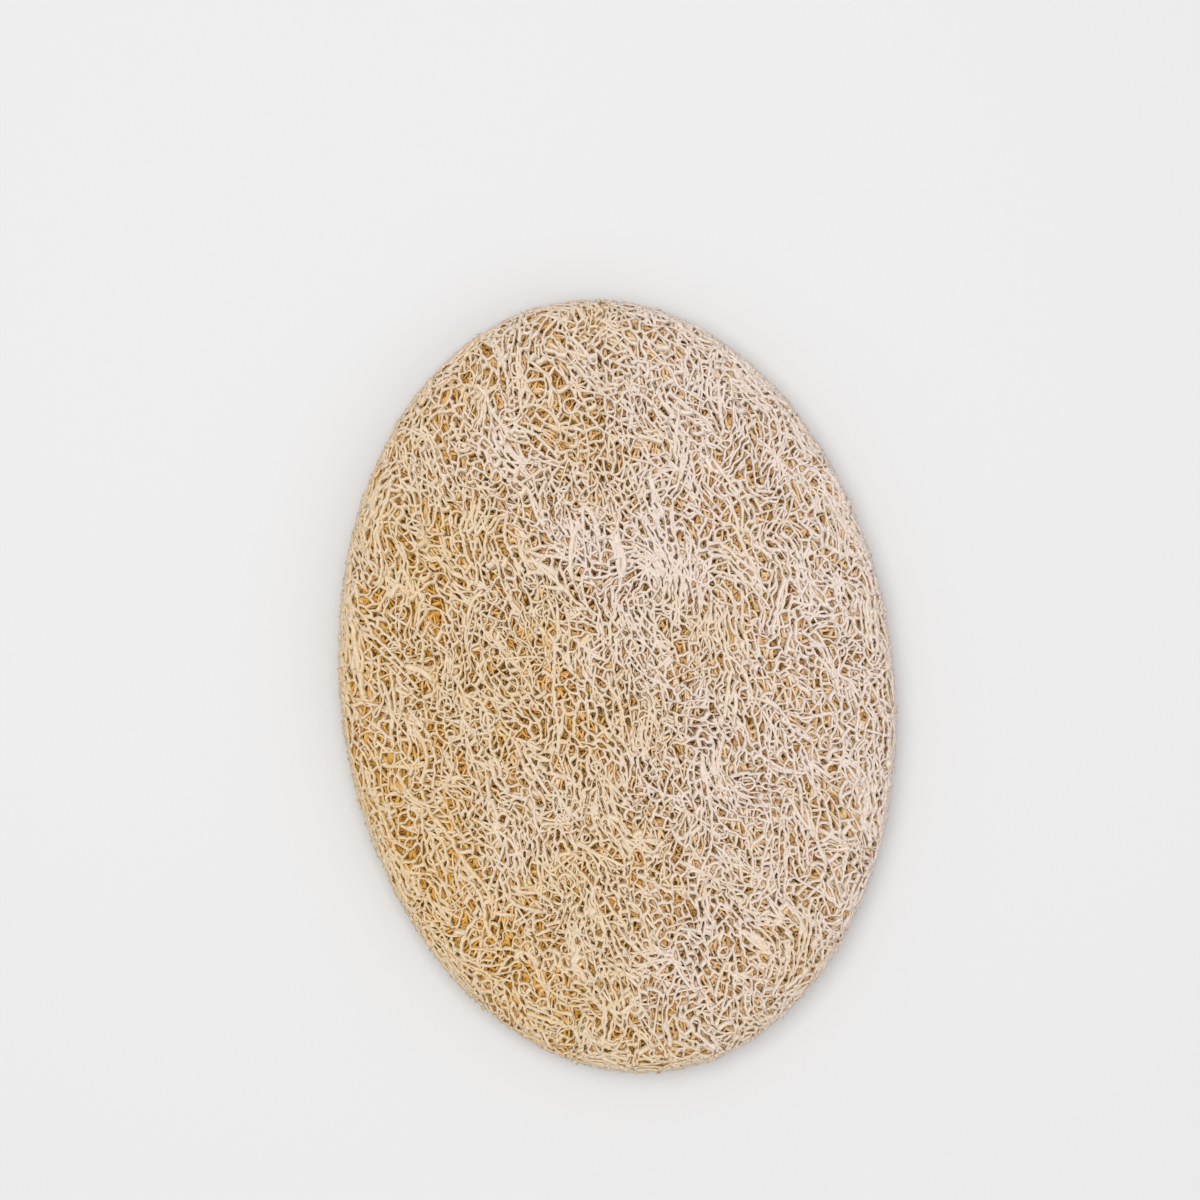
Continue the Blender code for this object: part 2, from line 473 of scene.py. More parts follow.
def path_over(run, closed, knots, linked, rows):
    """The rows of a fibre's path, with a row at each end that steers the curve."""
    if closed:
        return rows[[run[-2], *run, run[1]]]
    first = steering_knot(knots, linked, run[0], run[1])
    last = steering_knot(knots, linked, run[-1], run[-2])
    path = rows[[first, *run, last]]
    path[0, :3] = path[1, :3] + MERGE * (path[0, :3] - path[1, :3])
    path[-1, :3] = path[-2, :3] + MERGE * (path[-1, :3] - path[-2, :3])
    return path


def net_paths(layer, rng):
    """The paths of a net's fibres: those on the scrubbing face, and those on the back."""
    knots, neighbours = knots_between(scattered_directions(layer.cells, rng))
    knots = drawn_out(knots, rng)
    linked = linked_through(places_in_pad(*disc_points(knots), 0.0), neighbours)
    knots = straightened(knots, linked)
    disc, sides = disc_points(knots)
    depths = layer.depth + layer.wander * waves(knots, noise_start(rng))
    rows = control_rows(disc, sides, depths, np.ones(len(knots)))
    face, back = [], []
    for run, closed in fibre_runs(linked):
        path = path_over(run, closed, knots, linked, rows)
        along = along_growth(unit(path[-1, :3] - path[0, :3]))
        if len(run) == 2 and rng.uniform() < THINNED * (1 - along):
            continue
        thick = layer.radius * rng.lognormal(0, RADIUS_SPREAD)
        thick *= ACROSS_GRAIN + (1 - ACROSS_GRAIN) * along
        path[:, 6] = thick * rng.uniform(*KNOT_RADII, len(path))
        if not closed:
            path[[0, 1, -2, -1], 6] *= FLARE
        on_face = path[:, 2].mean() > THICKNESS / 2
        if layer is OUTER_NET and on_face and not closed:
            path = bowed(path, rng)
        (face if on_face else back).append(path)
    return face, back


# Paths over the disc

START_SCATTER = 0.5  # how strongly a start is moved off its even place


def spread_starts(count, reach, rng):
    """Points spread evenly over a disc along a golden-angle spiral, each moved at random."""
    order = np.arange(count)
    out = reach * np.sqrt((order + 0.5) / count)
    angles = order * GOLDEN_ANGLE
    even = np.column_stack([out * np.cos(angles), out * np.sin(angles)])
    return rng.permutation(even + rng.normal(size=(count, 2)) * START_SCATTER * reach / math.sqrt(count))


def strand_path(disc, side, depths, radii):
    """A path over disc points, with steering rows added at its ends."""
    rows = control_rows(disc, np.full(len(disc), side), depths, radii)
    return np.vstack([2 * rows[0] - rows[1], rows, 2 * rows[-1] - rows[-2]])


def patch_noise(point, size, level):
    """Noise from -1 to 1 that changes over patches of the disc. Each use of it has a level of its own."""
    return noise.noise(Vector((point[0], point[1], level)) / size)


# Short fibres that cross the gaps

SHORT_FIBRES = 5200
SHORT_LENGTHS = (0.0016, 0.0034)
SHORT_DEPTHS = (0.0010, 0.0019)
SHORT_SAG = 0.0003  # their ends lie this much less deep, and their middles half as much deeper
SHORT_PATCH = 0.08  # the size of a patch where they run side by side, in the disc's units
SHORT_LEVEL = 3.1
SHORT_SWING = 2 * math.pi  # how far their way swings from patch to patch, in radians
SHORT_STRAY = 0.25  # how far one strays from its patch's way, in radians
SHORT_BEND = 0.4  # how much they bend, in radians


def short_fibres(layer, rng):
    """Short fibres below the nets of the scrubbing face, mostly side by side with their neighbours."""
    paths = []
    for start in spread_starts(SHORT_FIBRES, DISC_RADIUS, rng):
        heading = SHORT_SWING * patch_noise(start, SHORT_PATCH, SHORT_LEVEL) + SHORT_STRAY * rng.normal()
        length = rng.uniform(*SHORT_LENGTHS)
        bend = SHORT_BEND * rng.normal()
        steps = np.array([-0.5, 0.0, 0.5]) * length
        headings = heading + bend * np.array([-1, 0, 1])
        moves = np.column_stack([np.cos(headings), np.sin(headings)]) * steps[:, None]
        disc = start + moves / [WIDTH / 2, LENGTH / 2]
        if np.linalg.norm(disc, axis=1).max() > DISC_RADIUS:
            continue
        depths = rng.uniform(*SHORT_DEPTHS) + SHORT_SAG * np.array([-1, 0.5, -1])
        radii = np.full(3, layer.radius * rng.lognormal(0, RADIUS_SPREAD))
        paths.append(strand_path(disc, FACE, depths, radii))
    return paths


# The matted inside

MAT_POINTS = 12000
MAT_DEPTH = 0.0024
MAT_LUMPS = ((0.0010, 0.0036), (0.0005, 0.0016))  # height and width


def inner_mat(material, rng):
    """The dense mat of fibres further in, seen only through the gaps of the nets."""
    directions = scattered_directions(MAT_POINTS, rng)
    disc, sides = disc_points(directions)
    depths = np.full(MAT_POINTS, MAT_DEPTH)
    level = places_in_pad(disc, sides, depths)
    for height, width in MAT_LUMPS:
        depths += height * np.array([noise.noise(Vector(place) / width) for place in level])
    mesh = bpy.data.meshes.new("inner_mat")
    triangles = triangles_over(directions)
    mesh.from_pydata(places_in_pad(disc, sides, depths).tolist(), [], triangles.tolist())
    return make_piece("inner_mat", mesh, material)


# Loose strands

STRANDS = 1180  # on the scrubbing face
BACK_STRANDS = STRANDS // 3
STRAND_LENGTHS = (0.005, 0.015)
STRAND_STEP = 0.0022  # distance between the points that a strand wanders over
STRAND_STRAY = 0.35  # how far off the way of growth a strand sets out, in radians
STRAND_RADII = (0.92, 1.1)  # between which shares of a strand's radius it lies at each step
STRAND_TIP = 0.75  # how thick its ends are
RIDE_SPREAD = 0.0003  # how much deeper than others a strand may lie
DIVE = 0.0012  # how deep a strand's end goes in among the net
DIVE_FADE = 1.2  # how fast it comes up again, per step from the end
FOLLOW = 0.2  # how quickly a strand turns into the way of growth
CURL = 0.16  # how much a strand's bend changes at each step
CURL_KEPT = 0.75  # the share of its bend that it keeps
GROWTH_SWING = 0.75  # how far the way of growth swings from place to place, in radians
GROWTH_PATCH = 0.5  # the size of such a place, in the disc's units
GROWTH_LEVEL = 7.3
TOP_MIXING = 0.6  # the share of that swing near the top of the pad
ORDERED_ABOVE = 0.75  # from here up, in the disc's units, only that share is left
MIXING_LENGTH = 0.9  # the swing is full this much further down
BRANCH_SPACING = 0.009  # average distance between a strand's branches
BRANCH_LENGTHS = (0.003, 0.009)
BRANCH_ANGLES = (0.35, 0.8)  # in radians
BRANCH_TIP = 0.7  # how thick a branch gets
BRANCH_TAPER = 0.5  # the share of its length over which it gets so
STARS = 12
STAR_ARMS = (5, 8)
STAR_LENGTHS = (0.004, 0.010)
STAR_UNEVENNESS = 0.3  # how far an arm is off its even place, as a share of the angle between arms
STAR_DEPTH = 0.0003  # how deep its middle lies
STAR_SINK = 1.5  # above 1, an arm sinks mostly towards its end
STAR_FLARE, STAR_TIP = 1.35, 0.75  # how thick an arm is at the middle, and how thick it gets
STAR_TAPER = 0.4  # the share of its length over which it gets so
LOOPS = 120
LOOP_CORNERS = 7
LOOP_SIZES = (0.0009, 0.0016)  # from the middle to the fibre
LOOP_UNEVENNESS = 0.15  # how far a corner is off its even place, as a share
LOOP_RADII = (0.8, 1.0)  # a loop's own thickness, as shares of a strand's


def growth_angle(point):
    """The way that strands run at a disc point: mostly along the pad near its top, more mixed below."""
    down = min(1.0, max(0.0, (ORDERED_ABOVE - point[1]) / MIXING_LENGTH))
    mixing = TOP_MIXING + (1 - TOP_MIXING) * down
    return GROWTH_ANGLE + GROWTH_SWING * mixing * patch_noise(point, GROWTH_PATCH, GROWTH_LEVEL)


def wander(point, heading, length, rng):
    """Disc points of a strand that sets out from a point and turns into the way of growth."""
    points = [np.array(point)]
    scale = np.array([WIDTH / 2, LENGTH / 2])
    bend = 0.0
    for _ in range(max(3, round(length / STRAND_STEP))):
        off_course = (growth_angle(points[-1]) - heading + math.pi / 2) % math.pi - math.pi / 2
        bend = CURL_KEPT * bend + CURL * rng.normal()
        heading += FOLLOW * off_course + bend
        onward = points[-1] + STRAND_STEP * np.array([math.cos(heading), math.sin(heading)]) / scale
        if np.linalg.norm(onward) > DISC_RADIUS:
            break
        points.append(onward)
    return np.array(points)


def tapered(along, start, tip, share):
    """Thickness along a strand that falls from its start's to its tip's over a share of its length."""
    return start - (start - tip) * np.minimum(1, along / share)


def branch(point, depth, heading, thick, side, rng):
    """The path of a branch that sets out to either side of a strand, or None if it is cut off short."""
    away = heading + rng.choice([-1, 1]) * rng.uniform(*BRANCH_ANGLES)
    disc = wander(point, away, rng.uniform(*BRANCH_LENGTHS), rng)
    if len(disc) < 3:
        return None
    along = np.linspace(0, 1, len(disc))
    radii = thick * tapered(along, FLARE, BRANCH_TIP, BRANCH_TAPER)
    return strand_path(disc, side, depth + DIVE * along**2, radii)


def loose_strands(side, count, rng):
    """Strands that lie in the net, with their branches."""
    paths = []
    for start in spread_starts(count, DISC_RADIUS, rng):
        heading = growth_angle(start) + math.pi * rng.integers(2) + STRAND_STRAY * rng.normal()
        disc = wander(start, heading, rng.uniform(*STRAND_LENGTHS), rng)
        if len(disc) < 4:
            continue
        steps = np.arange(len(disc))
        from_end = np.minimum(steps, steps[::-1])
        ride = STRAND.depth + rng.uniform(0, RIDE_SPREAD)
        bumps = STRAND.wander * rng.normal(size=len(disc))
        depths = ride + bumps + DIVE * np.exp(-DIVE_FADE * from_end)
        thick = STRAND.radius * rng.lognormal(0, RADIUS_SPREAD)
        ends = np.where(from_end == 0, STRAND_TIP, 1.0)
        strand = strand_path(disc, side, depths, thick * ends * rng.uniform(*STRAND_RADII, len(disc)))
        paths.append(strand)
        headings = np.arctan2(*(np.diff(disc, axis=0) * [WIDTH, LENGTH]).T[::-1])
        for k in range(2, len(disc) - 2):
            if rng.uniform() > STRAND_STEP / BRANCH_SPACING:
                continue
            path = branch(disc[k], depths[k], headings[k], thick, side, rng)
            if path is not None:
                path[0, :3] = strand[k, :3]
                paths.append(path)
    return paths


def stars(side, count, rng):
    """Star joints, where many fibres grow out of one place."""
    paths = []
    for centre in spread_starts(count, FACE_END, rng):
        arms = rng.integers(STAR_ARMS[0], STAR_ARMS[1] + 1)
        turn = rng.uniform(0, 2 * math.pi)
        for arm in range(arms):
            place = arm + rng.uniform(-STAR_UNEVENNESS, STAR_UNEVENNESS)
            disc = wander(centre, turn + 2 * math.pi * place / arms, rng.uniform(*STAR_LENGTHS), rng)
            if len(disc) < 3:
                continue
            along = np.linspace(0, 1, len(disc))
            radii = STRAND.radius * tapered(along, STAR_FLARE, STAR_TIP, STAR_TAPER)
            paths.append(strand_path(disc, side, STAR_DEPTH + DIVE * along**STAR_SINK, radii))
    return paths


def small_loops(side, count, rng):
    """Small closed loops of fibre."""
    paths = []
    corners = np.arange(LOOP_CORNERS)
    once_round = [LOOP_CORNERS - 1, *range(LOOP_CORNERS), 0, 1]
    for centre in spread_starts(count, FACE_END, rng):
        uneven = rng.uniform(-LOOP_UNEVENNESS, LOOP_UNEVENNESS, LOOP_CORNERS)
        turns = 2 * math.pi * (corners + uneven) / LOOP_CORNERS
        size = rng.uniform(*LOOP_SIZES)
        out = size * rng.uniform(1 - LOOP_UNEVENNESS, 1 + LOOP_UNEVENNESS, LOOP_CORNERS)
        x = out * np.cos(turns) / (WIDTH / 2)
        y = out * np.sin(turns) / (LENGTH / 2)
        ride = STRAND.depth + rng.uniform(0, RIDE_SPREAD)
        depths = ride + STRAND.wander * rng.normal(size=LOOP_CORNERS)
        radii = np.full(LOOP_CORNERS, STRAND.radius * rng.uniform(*LOOP_RADII))
        sides = np.full(LOOP_CORNERS, side)
        loop = control_rows(centre + np.column_stack([x, y]), sides, depths, radii)
        paths.append(loop[once_round])
    return paths


# Cut ends round the edge

CUT_ENDS = 600
CUT_REACHES = (0.84, 1.0)  # how far out they lie, as shares of the disc's radius
CUT_STRAY = 0.045  # how far one strays round the pad, in radians
CUT_DEPTHS = (0.0022, 0.0008)  # where one comes from, and halfway
CUT_HEIGHTS = (-0.0006, 0.0004)  # how high its tip stands out of the pad's skin
CUT_TIP = 0.9  # how thick the tip is


def cut_ends(rng):
    """Short ends of fibres that the cut left standing out of the pad's edge."""
    paths = []
    for _ in range(CUT_ENDS):
        angle = rng.uniform(0, 2 * math.pi)
        reach = DISC_RADIUS * rng.uniform(*CUT_REACHES)
        angles = angle + np.linspace(0, 1, 3) * rng.normal() * CUT_STRAY
        disc = reach * np.column_stack([np.cos(angles), np.sin(angles)])
        depths = np.array([*CUT_DEPTHS, -rng.uniform(*CUT_HEIGHTS)])
        radii = CUT.radius * rng.lognormal(0, RADIUS_SPREAD) * np.array([1, 1, CUT_TIP])
        paths.append(strand_path(disc, rng.choice([FACE, BACK]), depths, radii))
    return paths


# Materials

FLOAT, VECTOR = "NodeSocketFloat", "NodeSocketVector"
STREAK_RANGE = (0.3, 0.7)  # the noise values between which a groove turns into a ridge
PINK_RANGE = (0.15, 0.85)  # the values between which golden turns into pink
FLECK_RANGE = (0.70, 0.78)  # the noise values between which a fleck begins


def new_group(name, inputs, outputs):
    """A node group with these sockets, and the nodes that bring its inputs in and its outputs out."""
    group = bpy.data.node_groups.new(name, "ShaderNodeTree")
    for label, kind, value in inputs:
        socket = group.interface.new_socket(label, in_out="INPUT", socket_type=kind)
        if value is not None:
            socket.default_value = value
    for label, kind in outputs:
        group.interface.new_socket(label, in_out="OUTPUT", socket_type=kind)
    return group, group.nodes.new("NodeGroupInput"), group.nodes.new("NodeGroupOutput")


def add(nodes, kind, **settings):
    node = nodes.new(kind)
    for key, value in settings.items():
        setattr(node, key, value)
    return node


def maths(tree, operation, *values):
    """A Math node. Each value is a number or a socket."""
    node = add(tree.nodes, "ShaderNodeMath", operation=operation)
    for socket, value in zip(node.inputs, values):
        if isinstance(value, (int, float)):
            socket.default_value = value
        else:
            tree.links.new(value, socket)
    return node.outputs[0]


def spread(tree, value, low, high, to_low=0.0, to_high=1.0):
    """Spreads a value smoothly from one range to another."""
    node = add(tree.nodes, "ShaderNodeMapRange", interpolation_type="SMOOTHSTEP")
    node.inputs["From Min"].default_value = low
    node.inputs["From Max"].default_value = high
    node.inputs["To Min"].default_value = to_low
    node.inputs["To Max"].default_value = to_high
    tree.links.new(value, node.inputs["Value"])
    return node.outputs["Result"]


def blend(tree, factor, first, second, kind="MIX"):
    """A colour blend. A colour is a triple or a socket, and the factor is a number or a socket."""
    node = add(tree.nodes, "ShaderNodeMix", data_type="RGBA", blend_type=kind)
    for label, value in (("Factor_Float", factor), ("A_Color", first), ("B_Color", second)):
        socket = next(s for s in node.inputs if s.identifier == label)
        if isinstance(value, tuple):
            socket.default_value = (*value, 1)
        elif isinstance(value, (int, float)):
            socket.default_value = value
        else:
            tree.links.new(value, socket)
    return next(s for s in node.outputs if s.identifier == "Result_Color")


def at_place(tree, group):
    """A node of a group that reads the place on the pad."""
    where = add(tree.nodes, "ShaderNodeTexCoord")
    node = add(tree.nodes, "ShaderNodeGroup", node_tree=group)
    tree.links.new(where.outputs["Object"], node.inputs["Place"])
    return node


def depth_group():
    """How deep a place lies below the pad's skin, in metres."""
    group, given, made = new_group(
        "depth_in_pad",
        [
            ("Place", VECTOR, None),
            ("Half Width", FLOAT, WIDTH / 2),
            ("Half Length", FLOAT, LENGTH / 2),
            ("Thickness", FLOAT, THICKNESS),
            ("Face Drop", FLOAT, FACE_DROP),
            ("Edge Radius", FLOAT, THICKNESS / 2 - FACE_DROP),
        ],
        [("Depth", FLOAT)],
    )
    split = add(group.nodes, "ShaderNodeSeparateXYZ")
    group.links.new(given.outputs["Place"], split.inputs[0])
    half_width = given.outputs["Half Width"]
    edge_radius = given.outputs["Edge Radius"]
    x = maths(group, "DIVIDE", split.outputs["X"], half_width)
    y = maths(group, "DIVIDE", split.outputs["Y"], given.outputs["Half Length"])
    reach_squared = maths(group, "ADD", maths(group, "MULTIPLY", x, x), maths(group, "MULTIPLY", y, y))
    reach = maths(group, "SQRT", reach_squared)
    from_edge = maths(group, "MULTIPLY", maths(group, "SUBTRACT", 1.0, reach), half_width)
    dome = maths(group, "MULTIPLY", reach_squared, given.outputs["Face Drop"])
    below_top = maths(group, "SUBTRACT", given.outputs["Thickness"], split.outputs["Z"])
    from_face = maths(group, "MINIMUM", maths(group, "SUBTRACT", below_top, dome), split.outputs["Z"])
    past_edge = maths(group, "MAXIMUM", maths(group, "SUBTRACT", edge_radius, from_edge), 0.0)
    past_face = maths(group, "MAXIMUM", maths(group, "SUBTRACT", edge_radius, from_face), 0.0)
    edge_squared = maths(group, "POWER", past_edge, 2.0)
    face_squared = maths(group, "POWER", past_face, 2.0)
    past_both = maths(group, "SQRT", maths(group, "ADD", edge_squared, face_squared))
    depth = maths(group, "SUBTRACT", edge_radius, past_both)
    group.links.new(depth, made.inputs["Depth"])
    return group


def grain_group():
    """Streaks along a fibre: 0 in a groove and 1 on a ridge."""
    group, given, made = new_group(
        "grain_along_fibre",
        [
            ("Along Fibre", VECTOR, None),
            ("Streaks Round", FLOAT, 2.6),
            ("Streaks Along", FLOAT, 0.35),
        ],
        [("Streaks", FLOAT)],
    )
    scale = add(group.nodes, "ShaderNodeCombineXYZ")
    group.links.new(given.outputs["Streaks Round"], scale.inputs["X"])
    group.links.new(given.outputs["Streaks Round"], scale.inputs["Y"])
    group.links.new(given.outputs["Streaks Along"], scale.inputs["Z"])
    stretched = add(group.nodes, "ShaderNodeVectorMath", operation="MULTIPLY")
    group.links.new(given.outputs["Along Fibre"], stretched.inputs[0])
    group.links.new(scale.outputs["Vector"], stretched.inputs[1])
    streaks = add(group.nodes, "ShaderNodeTexNoise")
    streaks.inputs["Scale"].default_value = 1.0
    streaks.inputs["Detail"].default_value = 3.0
    streaks.inputs["Roughness"].default_value = 0.6
    group.links.new(stretched.outputs["Vector"], streaks.inputs["Vector"])
    group.links.new(spread(group, streaks.outputs["Fac"], *STREAK_RANGE), made.inputs["Streaks"])
    return group


def patches_group():
    """Slow patches where the fibre dried pinker, from 0 to 1, and small flecks of dried pulp."""
    group, given, made = new_group(
        "dried_patches",
        [
            ("Place", VECTOR, None),
            ("Lean", VECTOR, (7.0, 1.5, 0.0)),
            ("Patch Scale", FLOAT, 55.0),
            ("Fleck Scale", FLOAT, 420.0),
        ],
        [("Pinker", FLOAT), ("Flecks", FLOAT)],
    )
    lean = add(group.nodes, "ShaderNodeVectorMath", operation="DOT_PRODUCT")
    group.links.new(given.outputs["Place"], lean.inputs[0])
    group.links.new(given.outputs["Lean"], lean.inputs[1])
    patches = add(group.nodes, "ShaderNodeTexNoise")
    patches.inputs["Detail"].default_value = 3.0
    group.links.new(given.outputs["Place"], patches.inputs["Vector"])
    group.links.new(given.outputs["Patch Scale"], patches.inputs["Scale"])
    leaning = maths(group, "ADD", lean.outputs["Value"], patches.outputs["Fac"])
    group.links.new(spread(group, leaning, *PINK_RANGE), made.inputs["Pinker"])
    flecks = add(group.nodes, "ShaderNodeTexNoise")
    flecks.inputs["Detail"].default_value = 1.0
    group.links.new(given.outputs["Place"], flecks.inputs["Vector"])
    group.links.new(given.outputs["Fleck Scale"], flecks.inputs["Scale"])
    group.links.new(spread(group, flecks.outputs["Fac"], *FLECK_RANGE), made.inputs["Flecks"])
    return group


# A fibre's colours on its crest and below, where it dried golden and where it dried pinker, the depths
# between which it turns to the colours below, the height of its streaks, how rough it is on their ridges
# and in their grooves, and how much it reflects. The colours below are partly the fibre's own golden
# colour and partly painted shade, laid on deeper places and on a fibre's flanks, and the deeper layers'
# finishes are darker, partly painted shade too
Finish = namedtuple("Finish", "name crest crest_pink below below_pink starts ends streaks rough gloss")
OUTER_FIBRE = Finish(
    name="outer_fibre",
    crest=(0.88, 0.73, 0.55),
    crest_pink=(0.93, 0.81, 0.74),
    below=(0.90, 0.64, 0.32),
    below_pink=(0.92, 0.75, 0.60),
    starts=0.0003,
    ends=0.0015,
    streaks=0.25,
    rough=(0.5, 0.7),
    gloss=0.2,
)
UNDER_FIBRE = Finish(
    name="under_fibre",
    crest=(0.95, 0.79, 0.53),
    crest_pink=(0.95, 0.82, 0.68),
    below=(0.85, 0.47, 0.09),
    below_pink=(0.88, 0.60, 0.31),
    starts=0.0004,
    ends=0.0016,
    streaks=0.2,
    rough=(0.55, 0.75),
    gloss=0.1,
)
INNER_FIBRE = Finish(
    name="inner_fibre",
    crest=(0.90, 0.52, 0.12),
    crest_pink=(0.90, 0.57, 0.26),
    below=(0.72, 0.30, 0.02),
    below_pink=(0.68, 0.34, 0.10),
    starts=0.0014,
    ends=0.0032,
    streaks=0.2,
    rough=(0.6, 0.8),
    gloss=0.05,
)
PAINTED_FLANK_SHADE = 0.9  # painted shade: how much of the colour below the sides of a fibre show, so its top looks paler, as if lit
PAINTED_FLANK_HEIGHTS = (0.8, -0.45)  # where the painted flank shade runs from crest to flank, as shares of a fibre's half height
TONES = 0.35  # how much more of the colour below the darkest fibre shows than the palest
STREAK_SHADES = (0.84, 1.04)  # how dark a groove is, and how pale a ridge
STREAK_DEPTH = 0.0002
FLECK = (0.34, 0.17, 0.07)
FLECK_STRENGTH = 0.6


def fibre_material(finish, depth_in_pad, grain_along_fibre, dried_patches):
    """Dried plant fibre, paler towards the skin of the pad and golden further in: partly the fibre's own
    colour and partly painted shade, which also darkens a fibre's flanks against its paler top.
    """
    material = bpy.data.materials.new(finish.name)
    material.use_nodes = True
    tree = material.node_tree
    shader = tree.nodes["Principled BSDF"]
    depth = at_place(tree, depth_in_pad)
    patches = at_place(tree, dried_patches)
    along = add(tree.nodes, "ShaderNodeAttribute", attribute_name="along_fibre")
    grain = add(tree.nodes, "ShaderNodeGroup", node_tree=grain_along_fibre)
    tree.links.new(along.outputs["Vector"], grain.inputs["Along Fibre"])
    tone = add(tree.nodes, "ShaderNodeAttribute", attribute_name="fibre_tone")

    # Colour: patches, depth (partly painted shade), painted shade on the flanks, the fibre's tone,
    # streaks and flecks
    crest = blend(tree, patches.outputs["Pinker"], finish.crest, finish.crest_pink)
    below = blend(tree, patches.outputs["Pinker"], finish.below, finish.below_pink)
    # Painted shade in part: deeper places turn to the darker, more golden colours below
    sunk_and_shaded = spread(tree, depth.outputs["Depth"], finish.starts, finish.ends)
    height = add(tree.nodes, "ShaderNodeSeparateXYZ")
    tree.links.new(along.outputs["Vector"], height.inputs[0])
    # Painted shade on the flanks: a fibre's sides turn to the colours below, its top stays pale as if lit
    painted_flank_shade = spread(tree, height.outputs["Y"], *PAINTED_FLANK_HEIGHTS, 0.0, PAINTED_FLANK_SHADE)
    toned = spread(tree, tone.outputs["Fac"], 0, 1, 0.0, TONES)
    turned = maths(tree, "ADD", maths(tree, "MAXIMUM", sunk_and_shaded, painted_flank_shade), toned)
    colour = blend(tree, maths(tree, "MINIMUM", turned, 1.0), crest, below)
    shade = spread(tree, grain.outputs["Streaks"], 0, 1, *STREAK_SHADES)
    streaked = blend(tree, 1.0, colour, shade, "MULTIPLY")
    flecks = spread(tree, patches.outputs["Flecks"], 0, 1, 0.0, FLECK_STRENGTH)
    flecked = blend(tree, flecks, streaked, FLECK)
    tree.links.new(flecked, shader.inputs["Base Color"])
    ridge, groove = finish.rough
    rough = spread(tree, grain.outputs["Streaks"], 0, 1, groove, ridge)
    tree.links.new(rough, shader.inputs["Roughness"])
    bump = add(tree.nodes, "ShaderNodeBump")
    bump.inputs["Strength"].default_value = finish.streaks
    bump.inputs["Distance"].default_value = STREAK_DEPTH
    tree.links.new(grain.outputs["Streaks"], bump.inputs["Height"])
    tree.links.new(bump.outputs["Normal"], shader.inputs["Normal"])
    shader.inputs["Specular IOR Level"].default_value = finish.gloss
    return material


MAT_FIBRE = (0.96, 0.60, 0.18)
# painted shade in the gaps between the mat's fibres
MAT_GAP_SHADE = (0.34, 0.12, 0.01)
MAT_WAVES = 450.0  # how close together its fibres wave, as a noise scale
MAT_WAVE_SIZE = 0.002  # how far they wave
MAT_FINE_GAPS = 1150.0  # gaps in a metre between the finer fibres behind
MAT_FINE_SHADE = 0.55  # painted shade: how pale the finer fibres behind are, against the ones in front
MAT_FIBRE_RANGE = (1.0, 0.2)  # from the gap to the fibre's top, as shares of its half width
MAT_ROUGHNESS = (0.9, 0.7)  # in the gaps and on the fibres
MAT_RELIEF = 0.0003
MAT_RELIEF_STRENGTH = 0.6
MAT_GLOSS = 0.05


def crossing_group():
    """Fine fibres that cross one another: 1 on a fibre, falling to 0 in the gaps between them."""
    group, given, made = new_group(
        "crossing_fibres",
        [
            ("Place", VECTOR, None),
            ("Gaps Per Metre", FLOAT, 700.0),
            ("Fibre Share", FLOAT, 0.17),
        ],
        [("Fibres", FLOAT)],
    )
    wavy = add(group.nodes, "ShaderNodeTexNoise")
    wavy.inputs["Detail"].default_value = 1.0
    wavy.inputs["Scale"].default_value = MAT_WAVES
    group.links.new(given.outputs["Place"], wavy.inputs["Vector"])
    moved = add(group.nodes, "ShaderNodeVectorMath", operation="MULTIPLY_ADD")
    moved.inputs[1].default_value = (MAT_WAVE_SIZE, MAT_WAVE_SIZE, MAT_WAVE_SIZE)
    group.links.new(wavy.outputs["Color"], moved.inputs[0])
    group.links.new(given.outputs["Place"], moved.inputs[2])
    cells = add(group.nodes, "ShaderNodeTexVoronoi", feature="DISTANCE_TO_EDGE")
    group.links.new(moved.outputs["Vector"], cells.inputs["Vector"])
    group.links.new(given.outputs["Gaps Per Metre"], cells.inputs["Scale"])
    share = maths(group, "DIVIDE", cells.outputs["Distance"], given.outputs["Fibre Share"])
    group.links.new(spread(group, share, *MAT_FIBRE_RANGE), made.inputs["Fibres"])
    return group


def mat_material(crossing_fibres):
    """The matted inside, where finer and finer fibres cross, with painted shade in the gaps and on the
    finer fibres behind.
    """
    material = bpy.data.materials.new("matted_fibre")
    material.use_nodes = True
    tree = material.node_tree
    shader = tree.nodes["Principled BSDF"]
    near = at_place(tree, crossing_fibres)
    far = at_place(tree, crossing_fibres)
    far.inputs["Gaps Per Metre"].default_value = MAT_FINE_GAPS
    behind = spread(tree, far.outputs["Fibres"], 0, 1, 0.0, MAT_FINE_SHADE)
    fibres = maths(tree, "MAXIMUM", near.outputs["Fibres"], behind)
    tree.links.new(blend(tree, fibres, MAT_GAP_SHADE, MAT_FIBRE), shader.inputs["Base Color"])
    tree.links.new(spread(tree, fibres, 0, 1, *MAT_ROUGHNESS), shader.inputs["Roughness"])
    bump = add(tree.nodes, "ShaderNodeBump")
    bump.inputs["Strength"].default_value = MAT_RELIEF_STRENGTH
    bump.inputs["Distance"].default_value = MAT_RELIEF
    tree.links.new(fibres, bump.inputs["Height"])
    tree.links.new(bump.outputs["Normal"], shader.inputs["Normal"])
    shader.inputs["Specular IOR Level"].default_value = MAT_GLOSS
    return material


# Stage

FLOOR_SIZE = 6.0
FLOOR_PAINT = (0.8, 0.8, 0.8)
LAMP_SIZE = 0.7
LAMPS = (("key", (-0.10, 0.14, 0.97), 5.7), ("fill", (0.45, -0.35, 0.70), 0.8))  # place and power
SURROUND_STRENGTH = 0.5


